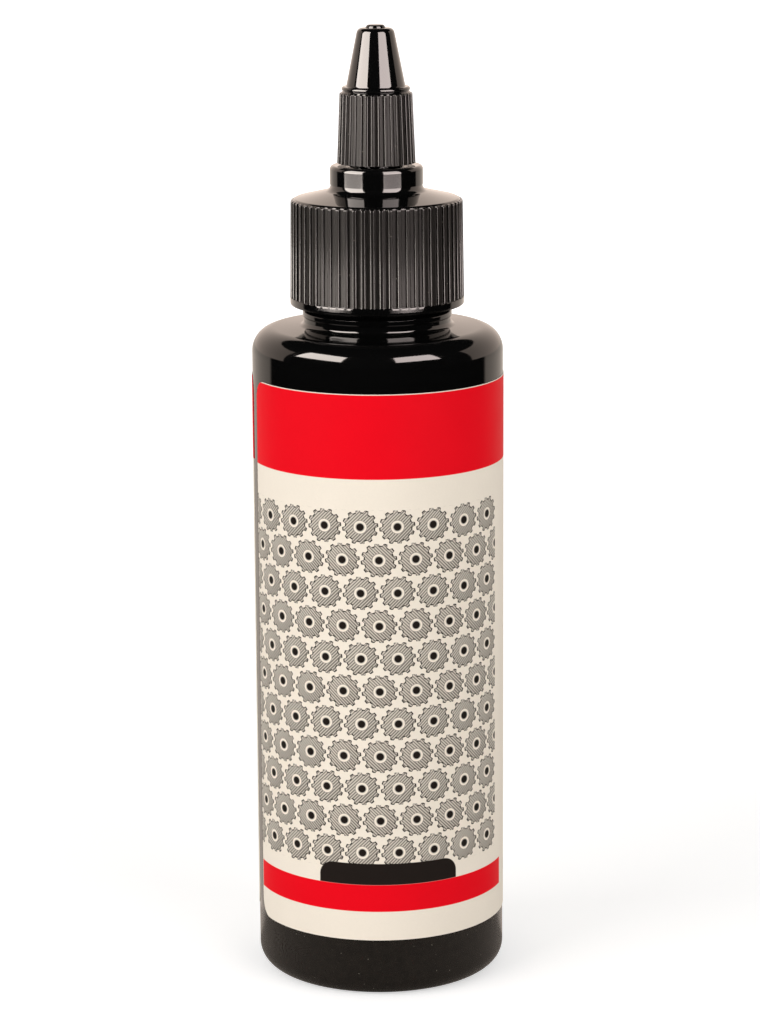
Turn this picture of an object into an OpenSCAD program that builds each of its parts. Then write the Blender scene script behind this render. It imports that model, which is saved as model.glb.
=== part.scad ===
// Slim blown bottle for chain lubricant, with a wrap label, a threaded ribbed cap
// and a drip tip that opens by a half turn.
// Millimetres, +Z up. The origin is on the table, on the bottle's axis, and the
// middle of the printed front faces -Y.

/* [Bottle body] */
// Outer diameter of the body
body_d = 38.5; // [34:0.5:50]
// Height of the straight side above the table, up to the start of the shoulder
side_h = 98.2; // [80:0.2:140]
// Wall thickness of the blown body
body_wall = 0.9; // [0.6:0.1:1.4]
// Radius of the rounded heel
heel_r = 3.2; // [2:0.1:5]
// Width of the flat ring that the bottle stands on
foot_w = 1.4; // [1:0.1:3]
// Height of the push-up in the middle of the base
pushup_h = 2.4; // [1:0.1:4]
// Radius of the rounded shoulder
shoulder_r = 3.6; // [2:0.1:6]
// Slope of the shoulder from its edge up to the neck, in degrees
shoulder_slope = 4; // [0:1:12]

/* [Neck finish] */
// Diameter of the neck between the thread's turns
neck_d = 21.4; // [20:0.1:22]
// Diameter over the neck's thread
neck_thread_d = 23.8; // [23:0.1:24.2]
// Diameter of the bore
bore_d = 17.6; // [13:0.1:18.4]
// Height of the finish, from the top of the neck fillet to the rim
finish_h = 16.8; // [16.5:0.1:20]
// Diameter of the bead below the thread
bead_d = 22.8; // [22:0.1:24]
// Height of the bead
bead_h = 1; // [0.6:0.1:1.6]
// Diameter of the short throat below the bead
throat_d = 22.4; // [21:0.1:23.6]
// Height of the straight throat
throat_h = 0.5; // [0.2:0.1:1.5]
// Radius of the fillet between the shoulder and the throat
throat_fillet_r = 0.8; // [0.4:0.1:1.5]
// Rise of the thread in one turn
thread_pitch = 3.175; // [3:0.025:3.4]
// Turns of thread on the neck and in the cap
thread_turns = 1.5; // [1:0.25:2]
// Height of a thread ridge along the axis, at its root
thread_root_w = 1.5; // [1.2:0.05:1.6]
// Height of a thread ridge along the axis, at its crest
thread_crest_w = 0.7; // [0.5:0.05:1]
// Distance from the rim down to the middle of the last thread
thread_start = 1.6; // [1.2:0.1:2]
// Rounding of the rim's outer edge
rim_edge_r = 0.4; // [0.2:0.05:0.6]
// Rounding inside, between the shoulder and the bore
mouth_r = 1; // [0.5:0.1:2]

/* [Label] */
// Thickness of the label film
label_t = 0.1; // [0.05:0.01:0.2]
// Height of the label
label_h = 85.2; // [60:0.2:86]
// Height of the label's lower edge above the table
label_z = 9.4; // [6:0.1:12]
// Bare stretch between the label's two ends, along the surface
label_gap = 3; // [1:0.1:20]
// Radius of the label's corners
label_corner_r = 2.8; // [0.5:0.1:4]
// Angle from the front to the middle of the bare stretch, in degrees
label_seam = -77; // [-180:1:180]

/* [Cap] */
// Diameter of the cap over its plain band
cap_d = 26.6; // [26.4:0.1:28]
// Height of the cap's skirt, from its foot to the rim of the deck
skirt_h = 16.3; // [15:0.1:18]
// Height of the plain band at the foot of the skirt
band_h = 1.2; // [0.6:0.1:2]
// Rounding of the band's lower edge
band_edge_r = 0.3; // [0.1:0.05:0.4]
// Draft of the skirt, in degrees
skirt_draft = 0.75; // [0:0.05:0.9]
// Number of ribs on the skirt
skirt_ribs = 60; // [40:2:72]
// Width of a skirt rib at half its height
skirt_rib_w = 0.62; // [0.4:0.02:0.8]
// Height of a skirt rib above the skirt
skirt_rib_h = 0.36; // [0.2:0.02:0.45]
// Rounding of the upper ends of the skirt's ribs
skirt_rib_end_r = 0.3; // [0.1:0.05:0.35]
// Inner diameter of the skirt between the thread's turns
skirt_bore_d = 24.3; // [24:0.1:24.6]
// Slope of the deck from its rim up to the collar, in degrees
deck_slope = 13; // [5:1:18]
// Rounding of the deck's rim
deck_edge_r = 0.5; // [0.2:0.05:0.8]
// Thickness of the deck over the liner, at the rim
deck_t = 1.1; // [0.8:0.1:1.8]
// Thickness of the foam liner
liner_t = 0.8; // [0.5:0.1:1.2]
// Diameter of the hole in the liner
liner_hole_d = 10; // [8.4:0.2:14]

/* [Collar and post] */
// Diameter of the collar under the tip
collar_d = 14.2; // [13:0.1:15]
// Height of the collar from the lip at its foot to its top
collar_h = 2.9; // [2:0.1:4]
// Step in at the foot of the collar
collar_lip = 0.1; // [0.05:0.01:0.2]
// Width of the flat land around the hollow collar, over the liner
land_w = 1; // [0.5:0.1:2]
// Radius of the fillet between the deck and the collar
collar_fillet_r = 1.05; // [0.6:0.05:1.5]
// Rounding of the collar's upper edge
collar_edge_r = 0.6; // [0.2:0.05:0.8]
// Wall of the collar and of its top plate
collar_wall = 1.2; // [0.9:0.1:1.6]
// Diameter of the hollow post that the tip turns on
post_d = 6.8; // [6.4:0.1:7]
// Bore of the post
post_bore_d = 4.4; // [4:0.1:4.6]
// Height of the post above the collar
post_h = 9.8; // [8:0.1:10.5]
// Height of the sealing bead at the top of the post
seal_h = 0.8; // [0.5:0.1:1.2]
// Height of a tip thread ridge above the post
tip_thread_h = 0.45; // [0.3:0.05:0.6]
// Rise of the tip's steep thread in one turn
tip_lead = 5; // [4.5:0.25:5.5]
// Number of starts of the tip's thread
tip_starts = 2; // [1:1:3]
// Part of a turn that each ridge on the post covers, in degrees
post_thread_turn = 310; // [200:10:320]
// Part of a turn that each ridge in the tip covers, in degrees
tip_thread_turn = 45; // [30:5:60]
// Height of a tip thread ridge along the axis, at its root
tip_thread_w = 1; // [0.7:0.05:1.1]

/* [Valve pin] */
// Diameter of the plug end of the pin
plug_d = 2.9; // [2:0.1:3]
// Length of the plug end
plug_h = 1.75; // [1.6:0.05:2.5]
// How far the plug stands proud of the tip
plug_proud = 0.45; // [0:0.05:0.6]
// Rounding of the plug's end
plug_edge_r = 0.4; // [0.1:0.05:0.5]
// Diameter of the pin's stem
stem_d = 1.8; // [1.2:0.1:2]
// Wall of the ring that holds the pin
ring_wall = 0.8; // [0.6:0.05:1]
// Height of the ring that holds the pin
ring_h = 1.6; // [1:0.1:2]
// Radial width of the ledge that the ring rests against
ring_ledge = 0.7; // [0.5:0.05:1]
// Wall of the socket under the post that holds the ring
socket_wall = 1; // [0.8:0.05:1.2]
// Height of each slope of the snap bead that keeps the ring in its socket
snap_h = 0.35; // [0.25:0.05:0.5]
// Number of arms between the pin and its ring
pin_arms = 3; // [3:1:4]
// Width of an arm
arm_w = 0.8; // [0.6:0.05:1]

/* [Drip tip] */
// Diameter over the ribs at the foot of the grip
grip_d = 11.94; // [11:0.02:12.5]
// Height of the ribbed grip
grip_h = 10.9; // [9.5:0.1:12]
// Draft of the grip, in degrees
grip_draft = 2.3; // [1:0.1:3]
// Number of ribs on the grip
grip_ribs = 36; // [24:2:40]
// Width of a grip rib at half its height
grip_rib_w = 0.46; // [0.3:0.02:0.6]
// Height of a grip rib
grip_rib_h = 0.26; // [0.15:0.01:0.4]
// Diameter of the smooth bead above the grip
tip_bead_d = 10.4; // [9.6:0.1:11]
// Height of the smooth bead
tip_bead_h = 0.7; // [0.6:0.1:1.2]
// Diameter of the cone at its foot
cone_foot_d = 8.95; // [8:0.05:9.5]
// Diameter of the cone at its top
cone_top_d = 5.8; // [5:0.1:6.4]
// Height of the cone
cone_h = 8.75; // [7:0.05:11]
// Rounding of the cone's upper edge
cone_edge_r = 0.9; // [0.3:0.05:1]
// Thickness of the cone's wall
cone_wall = 1; // [0.8:0.05:1.2]
// Thickness of the tip's end around the orifice
tip_end_t = 1.1; // [0.8:0.1:1.5]

/* [Fits] */
// Radial gap of a sliding or turning fit
run_gap = 0.05; // [0.02:0.01:0.1]
// Radial gap between a thread's crest and the facing root
crest_gap = 0.25; // [0.2:0.05:0.3]
// Gap between the flanks of two engaged threads
flank_gap = 0.3; // [0.2:0.05:0.4]
// Gap between the closed tip and the collar
tip_gap = 0.3; // [0.2:0.05:0.5]

/* [Hidden] */
$fn = 96;

plastic = [0.06, 0.06, 0.065];
film = [0.93, 0.89, 0.83];
foam = [0.9, 0.9, 0.88];

// How far a rib or a thread ridge is let into the wall that carries it
sink = 0.3;
// Rounding of a rib's crest as a share of its width, and spread of its foot as a share of its height
rib_roundness = 0.36;
rib_flare = 0.15;
// Height of a thread ridge at its very end, as a share of its full height
thread_end = 0.12;
// Steps of an outline's arc and of a full turn of a thread
arc_steps = 8;
turn_steps = 30;

body_r = body_d / 2;
foot_out_r = body_r - heel_r;
foot_in_r = foot_out_r - foot_w;
throat_r = throat_d / 2;
neck_r = neck_d / 2;
bore_r = bore_d / 2;
bead_r = bead_d / 2;

// The shoulder runs straight from the end of its rounding to the throat's fillet
shoulder_top = [body_r - shoulder_r + shoulder_r * sin(shoulder_slope),
                side_h + shoulder_r * cos(shoulder_slope)];
throat_fillet = fillet_centre(shoulder_top, shoulder_slope, throat_r, throat_fillet_r);
throat_z = throat_fillet[1];
bead_z = throat_z + throat_h;
rim_z = throat_z + finish_h;
thread_top_z = rim_z - thread_start;
thread_depth = (neck_thread_d - neck_d) / 2;

// The cap seats on the rim through the liner
ceiling_z = rim_z + liner_t;
deck_rim_z = ceiling_z + deck_t;
cap_z = deck_rim_z - skirt_h;
band_z = cap_z + band_h;
cap_r = cap_d / 2;
skirt_bore_r = skirt_bore_d / 2;
skirt_rib_len = deck_rim_z - deck_edge_r - band_z;
skirt_foot_r = cap_r - skirt_rib_h;
skirt_top_r = skirt_foot_r - skirt_rib_len * tan(skirt_draft);
// The cap's ridge lies under the neck's ridge, a flank gap away
cap_thread_depth = skirt_bore_r - neck_r - crest_gap;
cap_thread_drop = (thread_root_w + thread_crest_w) / 2 + flank_gap;

collar_r = collar_d / 2;
collar_foot_r = collar_r - collar_lip;
deck_top = [skirt_top_r - deck_edge_r + deck_edge_r * sin(deck_slope),
            deck_rim_z - deck_edge_r + deck_edge_r * cos(deck_slope)];
collar_fillet = fillet_centre(deck_top, deck_slope, collar_foot_r, collar_fillet_r);
collar_z = collar_fillet[1];
collar_top_z = collar_z + collar_h;
collar_in_r = collar_r - collar_wall;
plate_z = collar_top_z - collar_wall;

post_r = post_d / 2;
post_bore_r = post_bore_d / 2;
post_top_z = collar_top_z + post_h;
ring_bore_r = post_bore_r + ring_ledge;
ring_r = ring_bore_r - run_gap;
ring_top_z = collar_top_z - collar_wall * 0.75;
ring_z = ring_top_z - ring_h;
socket_r = ring_bore_r + socket_wall;
socket_z = ring_z - 3 * snap_h;

// The closed tip stands a gap above the collar
tip_z = collar_top_z + tip_gap;
grip_top_z = tip_z + grip_h;
cone_z = grip_top_z + tip_bead_h;
tip_top_z = cone_z + cone_h;
grip_foot_r = grip_d / 2 - grip_rib_h;
grip_rib_len = grip_h - grip_rib_h;
grip_top_r = grip_foot_r - grip_rib_len * tan(grip_draft);
// Both ridges of the tip's thread stop the same gap short of the facing wall
tip_crest_gap = 3 * run_gap;
tip_bore_r = post_r + tip_thread_h + tip_crest_gap;
seal_r = post_r + tip_thread_h / 3;
seal_bore_r = seal_r + run_gap;
tip_ridge_z = tip_z + 0.7 * tip_thread_w;
post_ridge_z = tip_ridge_z - tip_lead / tip_starts / 2;
// The wide bore ends above the post's highest ridge
post_ridge_top_z = post_ridge_z + tip_lead * post_thread_turn / 360 + tip_thread_w;
// The chamber under the cone starts with the cone's wall
cavity_z = cone_z - cone_wall;
end_in_z = tip_top_z - tip_end_t;
orifice_r = plug_d / 2 + run_gap;

// Points along an arc
function arc(centre, r, a0, a1, n = arc_steps) =
    [for (i = [0:n]) centre + r * [cos(a0 + (a1 - a0) * i / n), sin(a0 + (a1 - a0) * i / n)]];

// Centre of the fillet between a slope that rises inwards from a point and an upright wall
function fillet_centre(from, slope, wall_r, r) =
    [wall_r + r, from[1] + (from[0] - wall_r - r) * tan(slope) + r / cos(slope)];

// Outline of the push-up, from the axis to the inner edge of the foot ring
function pushup(r, h, n = arc_steps) = [for (i = [0:n - 1]) [r * i / n, h * (1 - pow(i / n, 3))]];

module revolve(points) {
    rotate_extrude() polygon(points);
}

// One straight rib on a drafted wall: rounded crest, slightly wider foot, rounded upper end
module rib(length, width, height, end_r) {
    crest_r = width * rib_roundness;
    half_foot = width / 2 + height * rib_flare;
    section = concat(
        [[-sink, -half_foot], [0, -half_foot]],
        arc([height - crest_r, -width / 2 + crest_r], crest_r, -75, 0, 3),
        arc([height - crest_r, width / 2 - crest_r], crest_r, 0, 75, 3),
        [[0, half_foot], [-sink, half_foot]]);
    side = concat(
        [[-sink, 0], [height, 0]],
        arc([height - end_r, length - end_r], end_r, 0, 90, 4),
        [[-sink, length]]);
    intersection() {
        linear_extrude(length) polygon(section);
        rotate([90, 0, 0]) linear_extrude(2 * width, center = true) polygon(side);
    }
}

module ribs(count, foot_r, z, draft, length, width, height, end_r) {
    for (i = [0:count - 1])
        rotate([0, 0, 360 * i / count])
            translate([foot_r, 0, z])
                rotate([0, -draft, 0])
                    rib(length, width, height, end_r);
}

// One thread ridge wound up a wall. A negative height winds it on the inside of a bore.
module ridge(wall_r, height, root_w, crest_w, lead, turn, z) {
    out = height > 0 ? 1 : -1;
    n = ceil(turn_steps * turn / 360);
    function fade(i) = min(1, thread_end + 4 * min(i, n - i) / turn_steps);
    function section(i) = let (
        mid = z + lead * turn / 360 * i / n,
        crest = wall_r + height * fade(i),
        root = wall_r - out * sink)
        [[root, mid - root_w / 2], [crest, mid - crest_w / 2],
         [crest, mid + crest_w / 2], [root, mid + root_w / 2]];
    points = [for (i = [0:n]) for (p = section(i))
        [p[0] * cos(turn * i / n), p[0] * sin(turn * i / n), p[1]]];
    sides = [for (i = [0:n - 1]) for (j = [0:3])
        let (a = 4 * i + j, b = 4 * i + (j + 1) % 4)
        each [[a, b, b + 4], [a, b + 4, a + 4]]];
    ends = [[0, 3, 2], [0, 2, 1], [4 * n, 4 * n + 1, 4 * n + 2], [4 * n, 4 * n + 2, 4 * n + 3]];
    all = concat(sides, ends);
    polyhedron(points, out > 0 ? all : [for (f = all) [f[2], f[1], f[0]]]);
}

module bottle() {
    bead_edge = bead_h / 4;
    outside = concat(
        pushup(foot_in_r, pushup_h),
        [[foot_in_r, 0]],
        arc([foot_out_r, heel_r], heel_r, -90, 0),
        arc([body_r - shoulder_r, side_h], shoulder_r, 0, 90 - shoulder_slope),
        arc(throat_fillet, throat_fillet_r, 270 - shoulder_slope, 180),
        arc([bead_r - bead_edge, bead_z + bead_edge], bead_edge, -90, 0, 3),
        [[bead_r, bead_z + bead_h - bead_edge], [neck_r, bead_z + bead_h]],
        arc([neck_r - rim_edge_r, rim_z - rim_edge_r], rim_edge_r, 0, 90, 3));
    inner_heel = heel_r - body_wall;
    inner_shoulder = shoulder_r - body_wall;
    inner_top = [body_r - shoulder_r + inner_shoulder * sin(shoulder_slope),
                 side_h + inner_shoulder * cos(shoulder_slope)];
    mouth_z = inner_top[1] + (inner_top[0] - bore_r - mouth_r) * tan(shoulder_slope);
    inside = concat(
        [[bore_r, rim_z]],
        arc([bore_r + mouth_r, mouth_z + mouth_r], mouth_r, 180, 270 - shoulder_slope, 4),
        arc([body_r - shoulder_r, side_h], inner_shoulder, 90 - shoulder_slope, 0),
        arc([foot_out_r, heel_r], inner_heel, 0, -90, 4),
        [for (p = pushup(foot_in_r, pushup_h)) [p[0], p[1] + body_wall]]);
    // The inside runs back to the axis, so its last stretch is taken from the axis outwards
    n = len(inside);
    floor_pts = [for (i = [n - 1:-1:n - arc_steps]) inside[i]];
    walls = [for (i = [0:n - arc_steps - 1]) inside[i]];
    color(plastic) {
        revolve(concat(outside, walls, floor_pts));
        ridge(neck_r, thread_depth, thread_root_w, thread_crest_w,
              thread_pitch, 360 * thread_turns, thread_top_z - thread_pitch * thread_turns);
    }
}

module wrap_label() {
    sweep = 360 - label_gap / (PI * body_d) * 360;
    start = label_seam - 90 + (360 - sweep) / 2;
    color(film)
    difference() {
        rotate([0, 0, start])
            rotate_extrude(angle = sweep)
                translate([body_r, label_z]) square([label_t, label_h]);
        for (side = [0, 1], top = [0, 1])
            rotate([0, 0, start + side * sweep])
                translate([0, 0, label_z + top * label_h])
                    mirror([0, side, 0]) mirror([0, 0, top])
                        label_corner();
    }
}

// What is trimmed off a corner of the label, for the corner at the start of its lower edge.
// The circle is slightly larger than the corner, so that it crosses the edges and cuts them cleanly.
module label_corner() {
    past = 0.5;
    crossing = 1.04;
    rotate([90, 0, 90])
        translate([0, 0, body_r - 1])
            linear_extrude(2)
                difference() {
                    translate([-past, -past]) square(label_corner_r + past);
                    translate([label_corner_r, label_corner_r]) circle(label_corner_r * crossing);
                }
}

module cap_liner() {
    color(foam)
    difference() {
        translate([0, 0, rim_z]) cylinder(h = liner_t, r = skirt_bore_r - crest_gap);
        translate([0, 0, rim_z - 1]) cylinder(h = liner_t + 2, d = liner_hole_d);
    }
}

module cap_base() {
    // Chamfer at the top of the post
    post_edge = 0.4;
    seal_z = post_top_z - seal_h - post_edge;
    outside = concat(
        [[skirt_bore_r, cap_z]],
        arc([cap_r - band_edge_r, cap_z + band_edge_r], band_edge_r, -90, 0, 4),
        [[cap_r, band_z], [skirt_foot_r, band_z + skirt_rib_h / 2]],
        arc([skirt_top_r - deck_edge_r, deck_rim_z - deck_edge_r], deck_edge_r, 0, 90 - deck_slope, 4),
        arc(collar_fillet, collar_fillet_r, 270 - deck_slope, 180),
        [[collar_r, collar_z + collar_lip]],
        arc([collar_r - collar_edge_r, collar_top_z - collar_edge_r], collar_edge_r, 0, 90),
        [[post_r, collar_top_z], [post_r, seal_z - seal_r + post_r], [seal_r, seal_z],
         [seal_r, seal_z + seal_h], [post_r - post_edge, post_top_z]]);
    land_r = collar_r + land_w;
    inside = [
        [post_bore_r, post_top_z], [post_bore_r, ring_top_z],
        [ring_bore_r, ring_top_z], [ring_bore_r, ring_z - run_gap],
        [ring_bore_r - 2 * run_gap, ring_z - snap_h],
        [ring_bore_r, socket_z], [socket_r, socket_z], [socket_r, plate_z],
        [collar_in_r, plate_z], [collar_in_r, ceiling_z + land_r - collar_in_r],
        [land_r, ceiling_z], [skirt_bore_r, ceiling_z]];
    color(plastic) {
        revolve(concat(outside, inside));
        ribs(skirt_ribs, skirt_foot_r, band_z, skirt_draft,
             skirt_rib_len + deck_edge_r / 2, skirt_rib_w, skirt_rib_h, skirt_rib_end_r);
        ridge(skirt_bore_r, -cap_thread_depth, thread_root_w, thread_crest_w,
              thread_pitch, 360 * thread_turns,
              thread_top_z - thread_pitch * thread_turns - cap_thread_drop);
        for (i = [0:tip_starts - 1])
            rotate([0, 0, 360 * i / tip_starts])
                ridge(post_r, tip_thread_h, tip_thread_w, tip_thread_w / 2,
                      tip_lead, post_thread_turn, post_ridge_z);
    }
}

module valve_pin() {
    plug_r = plug_d / 2;
    stem_r = stem_d / 2;
    plug_top_z = tip_top_z + plug_proud;
    plug_z = plug_top_z - plug_h;
    color(plastic) {
        revolve(concat(
            [[0, ring_z], [stem_r, ring_z], [stem_r, plug_z - plug_r + stem_r], [plug_r, plug_z]],
            arc([plug_r - plug_edge_r, plug_top_z - plug_edge_r], plug_edge_r, 0, 90, 4),
            [[0, plug_top_z]]));
        difference() {
            translate([0, 0, ring_z]) cylinder(h = ring_h, r = ring_r);
            translate([0, 0, ring_z - 1]) cylinder(h = ring_h + 2, r = ring_r - ring_wall);
        }
        for (i = [0:pin_arms - 1])
            rotate([0, 0, 360 * i / pin_arms])
                translate([stem_r / 2, -arm_w / 2, ring_z])
                    cube([ring_r - ring_wall / 2 - stem_r / 2, arm_w, ring_h * 0.75]);
    }
}

module spout_tip() {
    bead_r = tip_bead_d / 2;
    bead_edge = tip_bead_h / 2;
    cone_foot_r = cone_foot_d / 2;
    cone_top_r = cone_top_d / 2;
    // Lean of the cone's side, in degrees from upright
    lean = atan((cone_foot_r - cone_top_r) / cone_h);
    outside = concat(
        [[tip_bore_r + run_gap, tip_z], [grip_foot_r, tip_z], [grip_top_r, tip_z + grip_rib_len],
         [bead_r - bead_edge / 2, grip_top_z]],
        arc([bead_r - bead_edge, grip_top_z + bead_edge], bead_edge, -45, 80, 5),
        [[cone_foot_r, cone_z]],
        arc([cone_top_r - cone_edge_r, tip_top_z - cone_edge_r], cone_edge_r, lean, 90, 5),
        [[orifice_r, tip_top_z]]);
    inside = [
        [orifice_r, end_in_z], [cone_top_r - cone_wall, end_in_z - 0.4],
        [cone_foot_r - cone_wall - 0.2, cavity_z], [seal_bore_r, cavity_z],
        [seal_bore_r, post_ridge_top_z + tip_bore_r - seal_bore_r],
        [tip_bore_r, post_ridge_top_z], [tip_bore_r, tip_z + run_gap]];
    color(plastic) {
        revolve(concat(outside, inside));
        ribs(grip_ribs, grip_foot_r, tip_z, grip_draft,
             grip_rib_len, grip_rib_w, grip_rib_h, grip_rib_h * 0.9);
        for (i = [0:tip_starts - 1])
            rotate([0, 0, 360 * i / tip_starts])
                ridge(tip_bore_r, -tip_thread_h, tip_thread_w, tip_thread_w / 2,
                      tip_lead, tip_thread_turn, tip_ridge_z);
    }
}

bottle();
wrap_label();
cap_liner();
cap_base();
valve_pin();
spout_tip();
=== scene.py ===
# %% [markdown]
# # A drip bottle with a twist-open tip
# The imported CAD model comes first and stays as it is: it says where every piece sits and how it
# moves. Its round walls are made of flat facets, which gloss black plastic would show at once.
# So each visible piece is made again here, from the same sizes, with smooth walls and fine ribs.

import math

import bmesh
import bpy
from mathutils import Matrix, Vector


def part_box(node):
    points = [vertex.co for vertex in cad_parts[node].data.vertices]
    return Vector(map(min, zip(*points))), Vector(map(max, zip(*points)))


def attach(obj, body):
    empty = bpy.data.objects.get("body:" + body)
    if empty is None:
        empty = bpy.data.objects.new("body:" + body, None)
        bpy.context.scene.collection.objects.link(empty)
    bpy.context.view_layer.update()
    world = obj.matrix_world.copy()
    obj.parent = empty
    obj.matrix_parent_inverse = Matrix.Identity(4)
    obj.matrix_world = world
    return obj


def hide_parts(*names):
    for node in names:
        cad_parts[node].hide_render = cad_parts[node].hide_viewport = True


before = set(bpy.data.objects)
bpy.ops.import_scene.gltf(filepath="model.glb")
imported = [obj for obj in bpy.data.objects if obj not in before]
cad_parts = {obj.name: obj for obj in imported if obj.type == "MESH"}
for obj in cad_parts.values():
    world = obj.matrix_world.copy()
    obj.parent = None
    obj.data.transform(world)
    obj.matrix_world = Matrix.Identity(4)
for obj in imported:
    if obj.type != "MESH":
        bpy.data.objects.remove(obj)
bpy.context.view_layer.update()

# %% [markdown]
# ## The camera
# The label's edges are seen as ellipses, and the flatter they are, the lower the camera stands.
# Fitting them gives a long lens half a metre away that looks down by about twelve degrees.
# The bottle leans a little to the left in the frame and stands a hair left of its middle, so the
# camera is turned by that much.

# %% Place the camera
FRAME_WIDTH_PX = 760
SENSOR_MM = 36
focal_px = 3434
camera_distance = 0.520
camera_height = 0.188
look_down_deg = 12.43
lean_deg = 0.37
aim_right_deg = 0.024

camera_data = bpy.data.cameras.new("photo_camera")
camera_data.sensor_fit = "HORIZONTAL"
camera_data.sensor_width = SENSOR_MM
camera_data.lens = focal_px / FRAME_WIDTH_PX * SENSOR_MM
camera = bpy.data.objects.new("photo_camera", camera_data)
bpy.context.scene.collection.objects.link(camera)
camera.location = (0, -camera_distance, camera_height)
camera.rotation_euler = (
    Matrix.Rotation(math.radians(-aim_right_deg), 4, "Z")
    @ Matrix.Rotation(math.radians(90 - look_down_deg), 4, "X")
    @ Matrix.Rotation(math.radians(-lean_deg), 4, "Z")
).to_euler()
bpy.context.scene.camera = camera
print("lens in mm:", round(camera_data.lens, 1))

# %% [markdown]
# ## Shader maths as expressions
# A printed label or a rib's satin band is a mask: a number between 0 and 1 worked out from a place
# on the surface. Masks are sums and products, so a small class lets Python's own operators add
# the Math nodes. Every other node comes from one method, `add`.


# %% Wires and trees
class Wire:
    """An output socket of a node tree. Arithmetic on it adds Math nodes."""

    def __init__(self, tree, socket):
        self.tree = tree
        self.socket = socket

    def math(self, operation, *values, **settings):
        """A Math node of this operation on the values."""
        return self.tree.add("Math", dict(enumerate(values)), operation=operation, **settings)

    def __add__(self, other):
        return self.math("ADD", self, other)

    def __sub__(self, other):
        return self.math("SUBTRACT", self, other)

    def __rsub__(self, other):
        return self.math("SUBTRACT", other, self)

    def __mul__(self, other):
        return self.math("MULTIPLY", self, other)

    def __truediv__(self, other):
        return self.math("DIVIDE", self, other)

    __radd__ = __add__
    __rmul__ = __mul__


class Tree:
    """The node tree of a material or the world."""

    def __init__(self, owner):
        owner.use_nodes = True
        self.nodes = owner.node_tree.nodes
        self.links = owner.node_tree.links
        self.nodes.clear()

    def add(self, kind, sockets=None, output=0, stops=None, **settings):
        """Adds a node, sets it up, fills its sockets and returns one of its outputs."""
        node = self.nodes.new("ShaderNode" + kind)
        for name, value in settings.items():
            setattr(node, name, value)
        for index, (place, colour) in enumerate(stops or []):
            elements = node.color_ramp.elements
            element = elements[index] if index < len(elements) else elements.new(place)
            element.position = place
            element.color = colour
        for key, value in (sockets or {}).items():
            if isinstance(value, Wire):
                self.links.new(value.socket, node.inputs[key])
            else:
                node.inputs[key].default_value = value
        return Wire(self, node.outputs[output]) if node.outputs else node

    def above(self, value, edge, blur):
        """1 where the value is above the edge, 0 below it, with a soft step as wide as blur."""
        steep = 1 / blur
        offset = 0.5 - edge * steep
        return value.math("MULTIPLY_ADD", value, steep, offset, use_clamp=True)

    def between(self, value, low, high, blur):
        """1 between two edges."""
        return self.above(value, low, blur) * (1 - self.above(value, high, blur))

    def paint(self, mask, under, over):
        """Mixes two colours by a mask."""
        return self.add("Mix", {0: mask, 6: under, 7: over}, output=2, data_type="RGBA")

    def axes(self, scale=1.0):
        """The object's own X, Y and Z at the shaded point, in metres times a scale."""
        place = self.add("TexCoord", output="Object")
        split = self.add("SeparateXYZ", {0: place})
        parts = [Wire(self, socket) for socket in split.socket.node.outputs]
        return [part * scale for part in parts]

    def noise(self, size, detail=2.0, stretch=(1, 1, 1)):
        """Noise whose blobs are about this size in metres, with a mean of one half."""
        place = self.add("TexCoord", output="Object")
        place = self.add("Mapping", {0: place, "Scale": stretch})
        return self.add("TexNoise", {"Vector": place, "Scale": 1 / size, "Detail": detail})


def srgb(red, green, blue):
    """A colour as read off a screen, 0 to 255, as Blender's linear RGBA."""
    shares = (red / 255, green / 255, blue / 255)
    linear = [((c + 0.055) / 1.055) ** 2.4 if c > 0.04045 else c / 12.92 for c in shares]
    return (*linear, 1)


def new_material(name):
    material = bpy.data.materials.new(name)
    return material, Tree(material)


# %% [markdown]
# ## Gloss black plastic
# The bottle is blown and the cap and the tip are moulded, all in the same black. What tells them
# apart is the surface: polished where the mould is polished, satin at the bottle's foot and
# between the ribs, and faintly uneven everywhere. The ribs' flat crests and the grooves are dull,
# so only their corners shine. In the satin zones a warm brown painted reflection of the floor is
# mixed into the colour in blotches, most at the bottle's foot. Dust shows as a few pale specks.

# %% Black plastics
BLACK = srgb(7, 7, 7)
# Painted reflection: the warm brown of the floor's sheen, painted into the satin zones' colour
PAINTED_FLOOR_SHEEN = srgb(52, 45, 38)
DUST = srgb(150, 144, 132)
SKIN_SPREAD = 0.05
SKIN_WAVE_MM = 0.0015
GRAIN_SPREAD = 0.14
CREST_DEPTH, CREST_BLUR = 0.007, 0.008
GROOVE_DEPTH, GROOVE_BLUR = 0.04, 0.03
DULL_ROUGHNESS = 0.25
DULL_SHARE = 0.9


def dust(tree, cell, radius, share):
    """A mask of small specks: one in each chosen cell of a Voronoi pattern."""
    place = tree.add("TexCoord", output="Object")
    spots = tree.add("TexVoronoi", {"Vector": place, "Scale": 1 / cell}, output="Distance")
    chance = Wire(tree, spots.socket.node.outputs["Color"])
    chance = tree.add("SeparateColor", {0: chance})
    speck = 1 - tree.above(spots, radius / cell, 0.3 * radius / cell)
    return speck * (1 - tree.above(chance, share, 0.001))


def dull_ribs(tree, radius, z, crest_radius, foot_z, draft_deg, rib_h):
    """A mask of the ribs' flat crests and of the grooves between them, which leaves the corners
    out. It follows the wall's draft. All sizes are in mm."""
    reach = radius + (z - foot_z) * math.tan(math.radians(draft_deg))
    groove = 1 - tree.above(reach, crest_radius - rib_h + GROOVE_DEPTH, GROOVE_BLUR)
    return tree.above(reach, crest_radius - CREST_DEPTH, CREST_BLUR) + groove


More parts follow.
